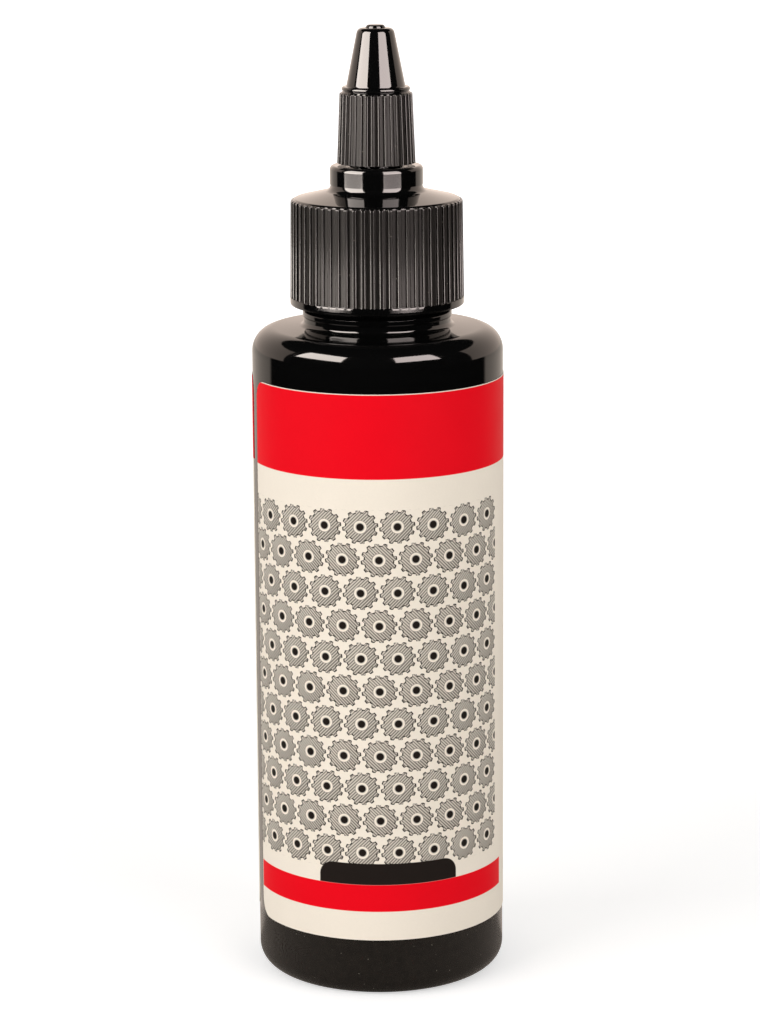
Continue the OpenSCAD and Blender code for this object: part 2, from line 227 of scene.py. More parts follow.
def plastic(name, roughness, satin_roughness=None, satin_zone=None, grain_mm=0.0, painted_sheen=0.0, ribs=None):
    """Black plastic with a fine uneven skin. In the satin zone, a range of heights in mm and a
    least radius in mm, it is rougher and finely grained. Painted sheen is the share of a warm brown
    painted reflection of the floor, mixed into the satin zone's colour in blotches.
    Ribs, given by the crests' radius and height at the foot, the draft and the ribs' height, are
    dull on their flat crests and in the grooves, and shiny at their corners."""
    material, tree = new_material(name)
    x, y, z = tree.axes(1000)
    rough = tree.noise(0.004, 3) * SKIN_SPREAD + (roughness - SKIN_SPREAD / 2)
    height = tree.noise(0.0015, 2) * SKIN_WAVE_MM
    specks = dust(tree, cell=0.0042, radius=0.0001, share=0.12)
    colour = BLACK
    gloss = 1.0
    if satin_zone:
        low, high, least_radius = satin_zone
        radius = (x * x + y * y).math("SQRT", x * x + y * y)
        satin = tree.between(z, low, high, 0.2) * tree.above(radius, least_radius, 0.1)
        grain = tree.noise(0.00016, 1)
        rise = satin_roughness - roughness - GRAIN_SPREAD / 2
        rough = rough + satin * (grain * GRAIN_SPREAD + rise)
        height = height + satin * grain * grain_mm
        fine_specks = dust(tree, cell=0.0007, radius=0.00006, share=0.2) * satin
        specks = specks.math("MAXIMUM", specks, fine_specks)
        blotch = tree.noise(0.0012, 4)
        # Painted reflection: the floor's warm sheen painted into the satin zone's colour, in blotches
        colour = tree.paint(satin * painted_sheen * (blotch * 1.2 + 0.4), BLACK, PAINTED_FLOOR_SHEEN)
        if ribs:
            dull = dull_ribs(tree, radius, z, *ribs) * satin
            rough = rough + dull * DULL_ROUGHNESS
            gloss = 1 - dull * DULL_SHARE
    colour = tree.paint(specks * 0.8, colour, DUST)
    normal = tree.add("Bump", {"Height": height, "Distance": 0.001, "Strength": 1.0})
    # A dull crest needs a weaker mirror, so on ribbed pieces the gloss is a coat left off the crests
    coat = {"Specular IOR Level": 0.06, "Coat Weight": gloss, "Coat Roughness": 0.06} if ribs else {}
    shader = tree.add("BsdfPrincipled", {
        "Base Color": colour, "Roughness": rough, "Normal": normal, "IOR": 1.5, **coat})
    tree.add("OutputMaterial", {0: shader})
    return material


# %% [markdown]
# ## Making round pieces
# Everything here was turned or blown, so a piece is a profile spun round the axis. The profile is
# a chain of points in millimetres, radius and height, with its round stretches as arcs.

# %% Profiles and spins
MM = 0.001
AXIS = {"cent": (0, 0, 0), "axis": (0, 0, 1)}
MERGE = 1e-7
SEAM_MERGE = 1e-6


def arc(centre, radius, start_deg, end_deg, steps=8):
    """Points along an arc, as (radius, height) pairs."""
    points = []
    for step in range(steps + 1):
        angle = math.radians(start_deg + (end_deg - start_deg) * step / steps)
        points.append((centre[0] + radius * math.cos(angle), centre[1] + radius * math.sin(angle)))
    return points


def fillet_centre(start, slope_deg, wall_r, radius):
    """Centre of the fillet between a slope that rises inwards and an upright wall."""
    slope = math.radians(slope_deg)
    run = start[0] - wall_r - radius
    return wall_r + radius, start[1] + run * math.tan(slope) + radius / math.cos(slope)


def held(profile, near=0.2):
    """Adds a row close to each end of a long straight stretch. Smooth shading averages the
    normals of neighbouring faces, so without these rows a rounding would bend the straight wall."""
    rows = [profile[0]]
    for start, end in zip(profile, profile[1:]):
        length = math.dist(start[:2], end[:2])
        if length > 3 * near:
            for share in (near / length, 1 - near / length):
                rows.append(tuple(a + (b - a) * share for a, b in zip(start, end)))
        rows.append(end)
    return rows


def chain(bm, profile, closed):
    """The profile as vertices and edges in the plane X = 0, on the side that faces the camera."""
    verts = [bm.verts.new((0, -point[0] * MM, point[1] * MM)) for point in profile]
    nexts = verts[1:] + verts[:1] if closed else verts[1:]
    edges = [bm.edges.new(pair) for pair in zip(verts, nexts)]
    return verts + edges


def revolve(profile, steps=256, closed=True):
    """A profile spun once round the axis."""
    bm = bmesh.new()
    profile = held(profile)
    bmesh.ops.spin(
        bm, geom=chain(bm, profile, closed), angle=2 * math.pi, steps=steps, use_merge=True, **AXIS)
    bmesh.ops.remove_doubles(bm, verts=bm.verts, dist=MERGE)
    return bm


def ridge(bm, section, lead, turn_deg, start_z, start_deg=0, steps_per_turn=120, fade_deg=30):
    """A thread ridge wound up the axis: a section of (radius, height) points, moved up as it
    turns. Its two ends fade into the wall, which is at the section's first radius."""
    steps = round(steps_per_turn * turn_deg / 360)
    first = len(bm.verts)
    verts = [bm.verts.new((0, -r * MM, (z + start_z) * MM)) for r, z in section]
    face = bm.faces.new(verts)
    to_start = Matrix.Rotation(math.radians(start_deg), 3, "Z")
    bmesh.ops.rotate(bm, verts=verts, cent=AXIS["cent"], matrix=to_start)
    bmesh.ops.spin(
        bm, geom=[face, *face.edges, *verts], angle=math.radians(turn_deg), steps=steps,
        dvec=(0, 0, lead * MM * turn_deg / 360 / steps), **AXIS)
    # The spin adds one section after another, so an index gives the place along the ridge
    bm.verts.ensure_lookup_table()
    wall_r = section[0][0]
    for index, vert in enumerate(bm.verts[first:]):
        step = index // len(section)
        from_end = min(step, steps - step) * turn_deg / steps
        fade = min(1, 0.1 + 0.9 * from_end / fade_deg)
        old_r = section[index % len(section)][0]
        scale = (wall_r + (old_r - wall_r) * fade) / old_r
        vert.co.x *= scale
        vert.co.y *= scale


def make(bm, name, material, body, node, crease_deg=38):
    """Turns a bmesh into a smooth-shaded piece that stands for a CAD node."""
    bmesh.ops.recalc_face_normals(bm, faces=bm.faces)
    for face in bm.faces:
        face.smooth = True
    for edge in bm.edges:
        edge.smooth = edge.is_manifold and edge.calc_face_angle() < math.radians(crease_deg)
    mesh = bpy.data.meshes.new(name)
    bm.to_mesh(mesh)
    bm.free()
    piece = bpy.data.objects.new(name, mesh)
    piece.data.materials.append(material)
    bpy.context.scene.collection.objects.link(piece)
    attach(piece, body)
    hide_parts(node)
    print(name, "faces:", len(mesh.polygons))
    return piece


# %% [markdown]
# ## The blown bottle
# A slim round body with a rounded heel, a flat ring to stand on and a pushed-up middle. The
# shoulder is a tight rounding and a nearly flat slope, up to the short throat below the thread.
# The wall is even, so the inside follows the outside, and the mouth is really open.

# %% Sizes of the bottle
body_r = 19.25
body_wall = 0.9
side_h = 98.2
heel_r = 3.2
foot_w = 1.4
pushup_h = 2.4
shoulder_r = 3.6
shoulder_slope = 4
throat_r = 11.2
throat_h = 0.5
throat_fillet_r = 0.8
bead_r = 11.4
bead_h = 1.0
neck_r = 10.7
bore_r = 8.8
finish_h = 16.8
mouth_r = 1.0

rim_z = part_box("bottle")[1][2] / MM
foot_out_r = body_r - heel_r
foot_in_r = foot_out_r - foot_w


# %% The body and the neck
def pushup(lift, steps=12):
    """The pushed-up base, from the axis to the inner edge of the foot ring."""
    return [(foot_in_r * i / steps, pushup_h * (1 - (i / steps) ** 3) + lift) for i in range(steps)]


def shoulder_end(radius):
    """Where a shoulder rounding of this radius ends and the slope begins."""
    slope = math.radians(shoulder_slope)
    return body_r - shoulder_r + radius * math.sin(slope), side_h + radius * math.cos(slope)


throat_fillet = fillet_centre(shoulder_end(shoulder_r), shoulder_slope, throat_r, throat_fillet_r)
throat_z = throat_fillet[1]
bead_z = throat_z + throat_h
bead_edge = bead_h / 4
rim_edge = 0.4
inner_end = shoulder_end(shoulder_r - body_wall)
mouth_z = inner_end[1] + (inner_end[0] - bore_r - mouth_r) * math.tan(math.radians(shoulder_slope))

outside = (
    pushup(0)
    + arc((foot_in_r + 0.3, 0.3), 0.3, 200, 270, 3)
    + arc((foot_out_r, heel_r), heel_r, -90, 0, 14)
    + [(body_r, side_h / 2)]
    + arc((body_r - shoulder_r, side_h), shoulder_r, 0, 90 - shoulder_slope, 20)
    + arc(throat_fillet, throat_fillet_r, 270 - shoulder_slope, 180, 8)
    + arc((bead_r - bead_edge, bead_z + bead_edge), bead_edge, -90, 0, 5)
    + arc((bead_r - bead_edge, bead_z + bead_h - bead_edge), bead_edge, 0, 60, 4)
    + [(neck_r, bead_z + bead_h + 0.3)]
    + arc((neck_r - rim_edge, rim_z - rim_edge), rim_edge, 0, 90, 6)
)
inside = (
    arc((bore_r + rim_edge / 2, rim_z - rim_edge / 2), rim_edge / 2, 90, 180, 4)
    + arc((bore_r + mouth_r, mouth_z + mouth_r), mouth_r, 180, 270 - shoulder_slope, 6)
    + arc((body_r - shoulder_r, side_h), shoulder_r - body_wall, 90 - shoulder_slope, 0, 10)
    + arc((foot_out_r, heel_r), heel_r - body_wall, 0, -90, 8)
    + pushup(body_wall)[::-1]
)
foot_satin_z = 9.6
# The foot's satin zone gets the strongest painted reflection of the warm floor
blown_black = plastic(
    "blown_black", roughness=0.07, satin_roughness=0.26, satin_zone=(-1, foot_satin_z, foot_in_r),
    grain_mm=0.006, painted_sheen=0.3)
bottle_mesh = revolve(outside + inside, closed=False)
make(bottle_mesh, "bottle_body", blown_black, "bottle", "bottle")

# %% [markdown]
# The neck's thread is a ridge that climbs an eighth of an inch in each turn. Its section is a low
# trapezoid, and the spin operator has a step vector that lifts it as it goes round.

# %% The neck's thread
thread_pitch = 3.175
thread_turns = 1.5
thread_start = 1.6
thread_depth = 1.2
thread_foot = 1.5
thread_crest = 0.7
thread_round = 0.08
sink = 0.3


def thread_section(wall_r, depth, foot, crest):
    """A trapezoid with rounded shoulders on a wall. A negative depth points into a bore."""
    into = sink if depth > 0 else -sink
    flank_r, crest_r = wall_r + 0.85 * depth, wall_r + depth
    outer, inner = crest / 2 + thread_round, crest / 2 - thread_round
    return [
        (wall_r - into, -foot / 2), (wall_r, -foot / 2), (flank_r, -outer), (crest_r, -inner),
        (crest_r, inner), (flank_r, outer), (wall_r, foot / 2), (wall_r - into, foot / 2)]


thread_mesh = bmesh.new()
ridge(thread_mesh, thread_section(neck_r, thread_depth, thread_foot, thread_crest), thread_pitch,
      360 * thread_turns, rim_z - thread_start - thread_pitch * thread_turns, start_deg=90)
make(thread_mesh, "neck_thread", blown_black, "bottle", "bottle")

# %% [markdown]
# ## Ribbed pieces
# The skirt has sixty fine ribs and the grip thirty-six. Their crests are flat with small round
# corners, which catch two thin lines of light, so they have to be real. One rib's sector is spun
# from the profile, its columns are moved onto the rib's section, and the sector is then repeated
# round the axis by a second spin that copies.


# %% A profile with ribs
def rib_section(pitch, width, height, corner, flare, foot):
    """One pitch across a rib, as pairs of (share of the pitch, share of the rib's height)."""
    crest = arc((width / 2 - corner, height - corner), corner, 90, 10, 4)
    fillet = arc((width / 2 + flare + foot, foot), foot, 190, 270, 2)
    half = [(0, height)] + crest + fillet + [(pitch / 2, 0)]
    half = [(place, rise / height) for place, rise in half]
    left = [(-place, rise) for place, rise in half[:0:-1]]
    return [(place / pitch + 0.5, rise) for place, rise in left + half]


def ribbed(profile, section, count, height, closed=True):
    """A revolved profile with ribs. Its points are (radius, height, share of the rib)."""
    bm = bmesh.new()
    profile = held(profile)
    pitch = 2 * math.pi / count
    bmesh.ops.spin(bm, geom=chain(bm, profile, closed), angle=pitch, steps=len(section) - 1, **AXIS)
    bm.verts.ensure_lookup_table()
    for index, vert in enumerate(bm.verts):
        share, rise = section[index // len(profile)]
        radius, z, rib = profile[index % len(profile)]
        angle = pitch * share - math.pi / 2
        radius += height * rise * rib
        vert.co = (radius * math.cos(angle) * MM, radius * math.sin(angle) * MM, z * MM)
    sector = bm.verts[:] + bm.edges[:] + bm.faces[:]
    bmesh.ops.spin(
        bm, geom=sector, angle=2 * math.pi - pitch, steps=count - 1, use_duplicate=True, **AXIS)
    bmesh.ops.remove_doubles(bm, verts=bm.verts, dist=SEAM_MERGE)
    return bm


def plain(points):
    """Profile points that carry no rib."""
    return [(r, z, 0) for r, z in points]


# %% [markdown]
# ## The screw cap
# A plain band runs round the foot, flush with the ribs' crests. Above the ribs a glossy deck
# slopes up to the collar, with a fillet between them and a fine step at the collar's foot.

# %% Sizes of the cap
cap_r = 13.3
skirt_h = 16.3
band_h = 1.2
band_edge = 0.3
skirt_draft = 0.75
skirt_ribs = 60
skirt_rib_w = 0.62
skirt_rib_h = 0.36
skirt_rib_end = 0.3
skirt_bore_r = 12.15
deck_slope = 13
deck_edge = 0.5
collar_r = 7.1
collar_h = 2.9
collar_lip = 0.1
collar_fillet_r = 1.05
collar_edge = 0.6
collar_wall = 1.2
collar_hole_r = 3.0
land_w = 1.0

cap_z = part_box("cap_base")[0][2] / MM
ceiling_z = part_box("cap_liner")[1][2] / MM
deck_rim_z = cap_z + skirt_h
band_z = cap_z + band_h
skirt_foot_r = cap_r - skirt_rib_h
rib_len = deck_rim_z - deck_edge - band_z
skirt_top_r = skirt_foot_r - rib_len * math.tan(math.radians(skirt_draft))
deck_edge_centre = (skirt_top_r - deck_edge, deck_rim_z - deck_edge)
deck_start = (
    deck_edge_centre[0] + deck_edge * math.sin(math.radians(deck_slope)),
    deck_edge_centre[1] + deck_edge * math.cos(math.radians(deck_slope)),
)
collar_foot_r = collar_r - collar_lip
collar_fillet = fillet_centre(deck_start, deck_slope, collar_foot_r, collar_fillet_r)
collar_z = collar_fillet[1]
collar_top_z = collar_z + collar_h


# %% The skirt, the deck and the collar
def ledge(points):
    """Points at the ribs' lower ends, where each rib's crest stays flush with the band."""
    return [(r, z, (cap_r - r) / skirt_rib_h) for r, z in points]


def noses(steps=7):
    """The ribs' rounded upper ends, on the wall and the start of the deck's rounding."""
    top_z = deck_rim_z - deck_edge / 2
    rows = []
    for step in range(steps + 1):
        angle = math.pi / 2 * step / steps
        z = top_z - skirt_rib_end + skirt_rib_end * math.sin(angle)
        up = max(0, z - deck_edge_centre[1])
        rows.append((deck_edge_centre[0] + math.sqrt(deck_edge ** 2 - up ** 2), z, math.cos(angle)))
    return rows


ledge_edge = 0.1
cap_profile = (
    plain([(skirt_bore_r, cap_z + 0.1), (skirt_bore_r + 0.1, cap_z)])
    + plain(arc((cap_r - band_edge, cap_z + band_edge), band_edge, -90, 0, 5))
    + ledge(arc((cap_r - ledge_edge, band_z - ledge_edge), ledge_edge, 0, 80, 3))
    + ledge([(skirt_foot_r + 0.04, band_z + 0.02), (skirt_foot_r, band_z + 0.08)])
    + noses()
    + plain(arc(deck_edge_centre, deck_edge, 38, 90 - deck_slope, 4))
    + plain(arc(collar_fillet, collar_fillet_r, 270 - deck_slope, 180, 7))
    + plain([(collar_r, collar_z + 0.02)])
    + plain(arc((collar_r - collar_edge, collar_top_z - collar_edge), collar_edge, 0, 90, 8))
    + plain([(collar_hole_r, collar_top_z), (collar_hole_r, collar_top_z - collar_wall)])
    + plain([(collar_r - collar_wall, collar_top_z - collar_wall)])
    + plain([(collar_r - collar_wall, ceiling_z + land_w + collar_wall)])
    + plain([(collar_r + land_w, ceiling_z), (skirt_bore_r, ceiling_z)])
)
skirt_pitch = 2 * math.pi * cap_r / skirt_ribs
skirt_section = rib_section(skirt_pitch, skirt_rib_w, skirt_rib_h, corner=0.13, flare=0.03, foot=0.08)
# The ribbed satin zone gets a faint painted reflection of the warm floor
moulded_cap = plastic(
    "moulded_cap", roughness=0.07, satin_roughness=0.2, painted_sheen=0.1, grain_mm=0.03,
    ribs=(cap_r, band_z, skirt_draft, skirt_rib_h),
    satin_zone=(band_z, deck_rim_z - 0.35, skirt_foot_r - 0.5))
cap_mesh = ribbed(cap_profile, skirt_section, skirt_ribs, skirt_rib_h)
make(cap_mesh, "cap_shell", moulded_cap, "cap", "cap_base")

# %% [markdown]
# Inside the cap a thread ridge points inwards, half a pitch below the neck's. On the collar
# stands the hollow post that the tip turns on, with two steep ridges and a sealing bead.

# %% The cap's thread and the post
crest_gap = 0.25
flank_gap = 0.3
post_r = 3.4
post_bore_r = 2.2
post_edge = 0.4
seal_h = 0.8
tip_lead = 5
tip_starts = 2
tip_thread_h = 0.45
tip_thread_w = 1.0
post_turn = 310
ring_ledge = 0.7
ring_h = 1.6
run_gap = 0.05
snap_h = 0.35
socket_wall = 1.0

post_top_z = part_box("cap_base")[1][2] / MM
tip_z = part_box("spout_tip")[0][2] / MM
seal_r = post_r + tip_thread_h / 3
seal_z = post_top_z - seal_h - post_edge
ring_bore_r = post_bore_r + ring_ledge
ring_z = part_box("valve_pin")[0][2] / MM
ring_top_z = ring_z + ring_h
socket_z = ring_z - 3 * snap_h
socket_r = ring_bore_r + socket_wall
tip_ridge_z = tip_z + 0.7 * tip_thread_w
post_ridge_z = tip_ridge_z - tip_lead / tip_starts / 2

post_foot_z = collar_top_z - collar_wall / 2
post_profile = [
    (socket_r, socket_z), (socket_r, post_foot_z), (post_r, post_foot_z),
    (post_r, seal_z - seal_r + post_r), (seal_r, seal_z), (seal_r, seal_z + seal_h),
    (post_r - post_edge, post_top_z), (post_bore_r, post_top_z), (post_bore_r, ring_top_z),
    (ring_bore_r, ring_top_z), (ring_bore_r, ring_z - run_gap),
    (ring_bore_r - 2 * run_gap, ring_z - snap_h), (ring_bore_r, socket_z)]
post_mesh = revolve(post_profile, steps=96)
for start in range(tip_starts):
    section = thread_section(post_r, tip_thread_h, tip_thread_w, tip_thread_w / 2)
    ridge(post_mesh, section, tip_lead, post_turn, post_ridge_z,
          start_deg=90 + 360 * start / tip_starts, steps_per_turn=96)
polished_cap = plastic("polished_cap", roughness=0.07)
make(post_mesh, "tip_post", polished_cap, "cap", "cap_base")

cap_thread_mesh = bmesh.new()
cap_thread_drop = (thread_foot + thread_crest) / 2 + flank_gap
ridge(cap_thread_mesh,
      thread_section(skirt_bore_r, neck_r + crest_gap - skirt_bore_r, thread_foot, thread_crest),
      thread_pitch, 360 * thread_turns,
      rim_z - thread_start - thread_pitch * thread_turns - cap_thread_drop, start_deg=90)
make(cap_thread_mesh, "cap_thread", polished_cap, "cap", "cap_base")

# %% [markdown]
# ## The drip tip
# The grip is ribbed like the skirt, but its ribs are rounder and its wall leans in more. Above
# it come a glossy bead and a smooth cone. The end is rounded and has a hole for the plug.

# %% Sizes of the tip
grip_r = 5.97
grip_h = 10.9
grip_draft = 2.3
grip_ribs = 36
grip_rib_w = 0.46
grip_rib_h = 0.26
grip_rib_end = 0.23
tip_bead_r = 5.2
tip_bead_h = 0.7
cone_foot_r = 4.475
cone_top_r = 2.9
cone_h = 8.75
cone_edge = 0.9
cone_wall = 1.0
tip_end_t = 1.1
orifice_edge = 0.1
plug_r = 1.45
tip_thread_turn = 45

tip_top_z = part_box("spout_tip")[1][2] / MM
grip_foot_r = grip_r - grip_rib_h
grip_top_z = tip_z + grip_h
cone_z = grip_top_z + tip_bead_h
grip_rib_len = grip_h - grip_rib_h
grip_top_r = grip_foot_r - grip_rib_len * math.tan(math.radians(grip_draft))
tip_bore_r = post_r + tip_thread_h + 3 * run_gap
seal_bore_r = seal_r + run_gap
orifice_r = plug_r + run_gap
post_ridge_top_z = post_ridge_z + tip_lead * post_turn / 360 + tip_thread_w


# %% The grip and the cone
def grip_noses(steps=5):
    """The grip ribs' rounded upper ends."""
    lean = math.tan(math.radians(grip_draft))
    rows = []
    for step in range(steps + 1):
        angle = math.pi / 2 * step / steps
        along = grip_rib_len - grip_rib_end + grip_rib_end * math.sin(angle)
        rows.append((grip_foot_r - along * lean, tip_z + along, math.cos(angle)))
    return rows


bead_round = tip_bead_h / 2
cone_lean = math.degrees(math.atan((cone_foot_r - cone_top_r) / cone_h))
tip_profile = (
    plain([(tip_bore_r, tip_z + 0.05), (tip_bore_r + 0.05, tip_z)])
    + [(grip_foot_r - 0.06, tip_z, 0.75), (grip_foot_r, tip_z + 0.06, 1)]
    + grip_noses()
    + plain(arc((tip_bead_r - bead_round, grip_top_z + bead_round), bead_round, -60, 82, 10))
    + plain([(cone_foot_r + 0.08, cone_z - 0.02), (cone_foot_r, cone_z + 0.06)])
    + plain(arc((cone_top_r - cone_edge, tip_top_z - cone_edge), cone_edge, cone_lean, 90, 8))
    + plain([(orifice_r + orifice_edge, tip_top_z), (orifice_r, tip_top_z - orifice_edge)])
    + plain([(orifice_r, tip_top_z - tip_end_t)])
    + plain([(cone_top_r - cone_wall, tip_top_z - tip_end_t - 0.4)])
    + plain([(cone_foot_r - cone_wall - 0.2, cone_z - cone_wall), (seal_bore_r, cone_z - cone_wall)])
    + plain([(seal_bore_r, post_ridge_top_z + tip_bore_r - seal_bore_r)])
    + plain([(tip_bore_r, post_ridge_top_z)])
)
grip_pitch = 2 * math.pi * grip_r / grip_ribs
grip_section = rib_section(grip_pitch, grip_rib_w, grip_rib_h, corner=0.12, flare=0.02, foot=0.06)
# The ribbed satin zone gets a faint painted reflection of the warm floor
moulded_tip = plastic(
    "moulded_tip", roughness=0.07, satin_roughness=0.2, painted_sheen=0.1, grain_mm=0.03,
    ribs=(grip_r, tip_z, grip_draft, grip_rib_h),
    satin_zone=(tip_z, grip_top_z - 0.25, grip_top_r - 0.6))
tip_mesh = ribbed(tip_profile, grip_section, grip_ribs, grip_rib_h)
make(tip_mesh, "tip_shell", moulded_tip, "tip", "spout_tip")

tip_thread_mesh = bmesh.new()
for start in range(tip_starts):
    section = thread_section(tip_bore_r, -tip_thread_h, tip_thread_w, tip_thread_w / 2)
    ridge(tip_thread_mesh, section, tip_lead, tip_thread_turn, tip_ridge_z,
          start_deg=90 + 360 * start / tip_starts, steps_per_turn=96, fade_deg=8)
polished_tip = plastic("polished_tip", roughness=0.07)
make(tip_thread_mesh, "tip_thread", polished_tip, "tip", "spout_tip")

# %% [markdown]
# ## The valve pin
# Only its end is seen: a small plug that stands a little proud of the tip. Below it the stem runs
# down to a ring on three arms, which is held in the socket under the post.

# %% The pin
plug_h = 1.75
plug_edge = 0.4
stem_r = 0.9
ring_wall = 0.8
pin_arms = 3
arm_w = 0.8
arm_h = 1.2

plug_top_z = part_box("valve_pin")[1][2] / MM
plug_z = plug_top_z - plug_h
ring_r = ring_bore_r - run_gap
pin_mesh = revolve(
    [(0, ring_z), (stem_r, ring_z), (stem_r, plug_z - plug_r + stem_r), (plug_r, plug_z)]
    + arc((plug_r - plug_edge, plug_top_z - plug_edge), plug_edge, 0, 90, 5)
    + [(0, plug_top_z)], steps=64, closed=False)
ring_in_r = ring_r - ring_wall
ring_profile = [(ring_r, ring_z), (ring_r, ring_top_z), (ring_in_r, ring_top_z), (ring_in_r, ring_z)]
ring_geom = chain(pin_mesh, ring_profile, closed=True)
bmesh.ops.spin(pin_mesh, geom=ring_geom, angle=2 * math.pi, steps=64, use_merge=True, **AXIS)
arm_len = ring_r - ring_wall / 2 - stem_r / 2
for index in range(pin_arms):
    turn = Matrix.Rotation(2 * math.pi * index / pin_arms, 4, "Z")
    shift = Matrix.Translation(((stem_r / 2 + arm_len / 2) * MM, 0, (ring_z + arm_h / 2) * MM))
    size = Matrix.Diagonal((arm_len * MM, arm_w * MM, arm_h * MM, 1))
    bmesh.ops.create_cube(pin_mesh, size=1, matrix=turn @ shift @ size)
polished_pin = plastic("polished_pin", roughness=0.12)
make(pin_mesh, "valve_plug", polished_pin, "pin", "valve_pin")

# %% [markdown]
# ## The label
# One strip of printed film goes round the body and nearly meets itself on the left. It is cut
# flat, with rounded corners, sliced into narrow strips, given its thickness, and then bent.

# %% Cut and bend the label
label_t = 0.1
label_z, label_top_z = (corner[2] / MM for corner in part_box("wrap_label"))
label_h = label_top_z - label_z
label_gap = 3
label_seam_deg = -77
label_corner = 2.8
label_strips = 180

label_len = 2 * math.pi * body_r - label_gap
label_start = math.radians(label_seam_deg) * body_r + label_gap / 2
label_mesh = bmesh.new()
bmesh.ops.create_grid(
    label_mesh, x_segments=1, y_segments=1, size=0.5,
    matrix=Matrix.Translation(((label_start + label_len / 2) * MM, (label_z + label_h / 2) * MM, 0))
    @ Matrix.Diagonal((label_len * MM, label_h * MM, 1, 1)))
bmesh.ops.bevel(
    label_mesh, geom=label_mesh.verts[:], offset=label_corner * MM, offset_type="OFFSET",
    affect="VERTICES", segments=8, profile=0.5, material=-1)
for strip in range(1, label_strips):
    cut = (label_start + label_len * strip / label_strips) * MM
    geom = label_mesh.verts[:] + label_mesh.edges[:] + label_mesh.faces[:]
    bmesh.ops.bisect_plane(
        label_mesh, geom=geom, plane_co=(cut, 0, 0), plane_no=(1, 0, 0), dist=MERGE)
raised = bmesh.ops.extrude_face_region(label_mesh, geom=label_mesh.faces[:])["geom"]
top_verts = [item for item in raised if isinstance(item, bmesh.types.BMVert)]
bmesh.ops.translate(label_mesh, verts=top_verts, vec=(0, 0, label_t * MM))
for vert in label_mesh.verts:
    along, up, out = vert.co
    angle = along / (body_r * MM)
    radius = body_r * MM + out
    vert.co = (radius * math.sin(angle), -radius * math.cos(angle), up)

# %% [markdown]
# The print is worked out from two numbers at each point: how far round the bottle it is, in
# millimetres from the middle of the front, and how high. Fields of red, cream and black follow
# the real layout. The cream field has a plain pattern of toothed wheels, staggered in rows, and
# fine ruled rows on the back. Each is a mask, so one colour is mixed over another by it.

# %% Print the label
RED = srgb(233, 6, 26)
CREAM = srgb(238, 228, 213)
INK = srgb(34, 28, 25)
edge_line = 0.12
red_field_z = 81.7
stripe_low_z, stripe_high_z = 14.0, 18.3
stripe_end = 24.6
tab_left, tab_right, tab_top_z, tab_corner = -9.7, 12.3, 21.7, 2.2
wheel_w, wheel_h = 5.6, 5.1
wheel_low_z = 20.9
wheel_rows = 11
wheel_right = 22.4
wheel_r, tooth_h, teeth = 2.42, 0.22, 12
hub_r, hub_ring_r = 0.62, 1.05
wheel_line, ring_line_w = 0.2, 0.14
hatch_pitch = 0.36
SHARP_MM = 0.08
row_pitch, row_foot, row_ink = 1.7, 0.4, 0.3
rows_left, rows_right, rows_ragged = 31, 56, 9
rows_low_z, rows_high_z = 24.0, 76.0


def wheel_pattern(tree, along, up):
    """Ink of a staggered pattern of hatched toothed wheels."""
    rows = (up - wheel_low_z) / wheel_h
    row = rows.math("FLOOR", rows)
    odd = row.math("FLOORED_MODULO", row, 2)
    columns = along / wheel_w + odd * 0.5
    u = (columns.math("FRACT", columns) - 0.5) * wheel_w
    v = (rows.math("FRACT", rows) - 0.5) * wheel_h
    radius = u.math("SQRT", u * u + v * v)
    angle = v.math("ARCTAN2", v, u)
    wave = angle.math("SINE", angle * teeth) * 2.4
    wave = wave.math("MINIMUM", wave.math("MAXIMUM", wave, -1), 1)
    rim = radius - wave * tooth_h
    wheel = 1 - tree.above(rim, wheel_r, SHARP_MM)
    outline = tree.between(rim, wheel_r - wheel_line / 2, wheel_r + wheel_line / 2, SHARP_MM)
    hub = 1 - tree.above(radius, hub_r, 0.2)
    ring = tree.between(radius, hub_r, hub_ring_r, SHARP_MM)
    ring_line = tree.between(
        radius, hub_ring_r - ring_line_w / 2, hub_ring_r + ring_line_w / 2, SHARP_MM)
    slant = (u + v * (odd * 2 - 1)) * (2 * math.pi / hatch_pitch / math.sqrt(2))
    shade = (u - v) * 0.13
    hatch = tree.above(slant.math("SINE", slant) + shade, -0.1, 0.7)
    body = wheel * (hatch * 0.5 + 0.28) * (1 - ring)
    ink = outline.math("MAXIMUM", outline, hub)
    ink = ink.math("MAXIMUM", ink, ring_line * 0.6)
    ink = ink.math("MAXIMUM", ink, body)
    inside = tree.between(up, wheel_low_z, wheel_low_z + wheel_rows * wheel_h, SHARP_MM)
    return ink * inside * tree.between(along, label_start, wheel_right, SHARP_MM)


def ruled_rows(tree, along, up):
    """Ink of fine ruled rows with ragged ends, on the back."""
    row_index = (up / row_pitch).math("FLOOR", up / row_pitch)
    ragged = tree.add("TexWhiteNoise", {"W": row_index}, noise_dimensions="1D")
    turned = tree.add("TexWhiteNoise", {"W": row_index + 40.5}, noise_dimensions="1D")
    line = tree.between(up - row_index * row_pitch, row_foot, row_foot + row_ink, 0.05)
    inked = 1 - tree.above(turned, 0.85, 0.01)
    row_end = 1 - tree.above(along + ragged * rows_ragged, rows_right, 0.05)
    reach = tree.above(along, rows_left, 0.05) * row_end
    return line * inked * reach * tree.between(up, rows_low_z, rows_high_z, 0.05) * 0.55


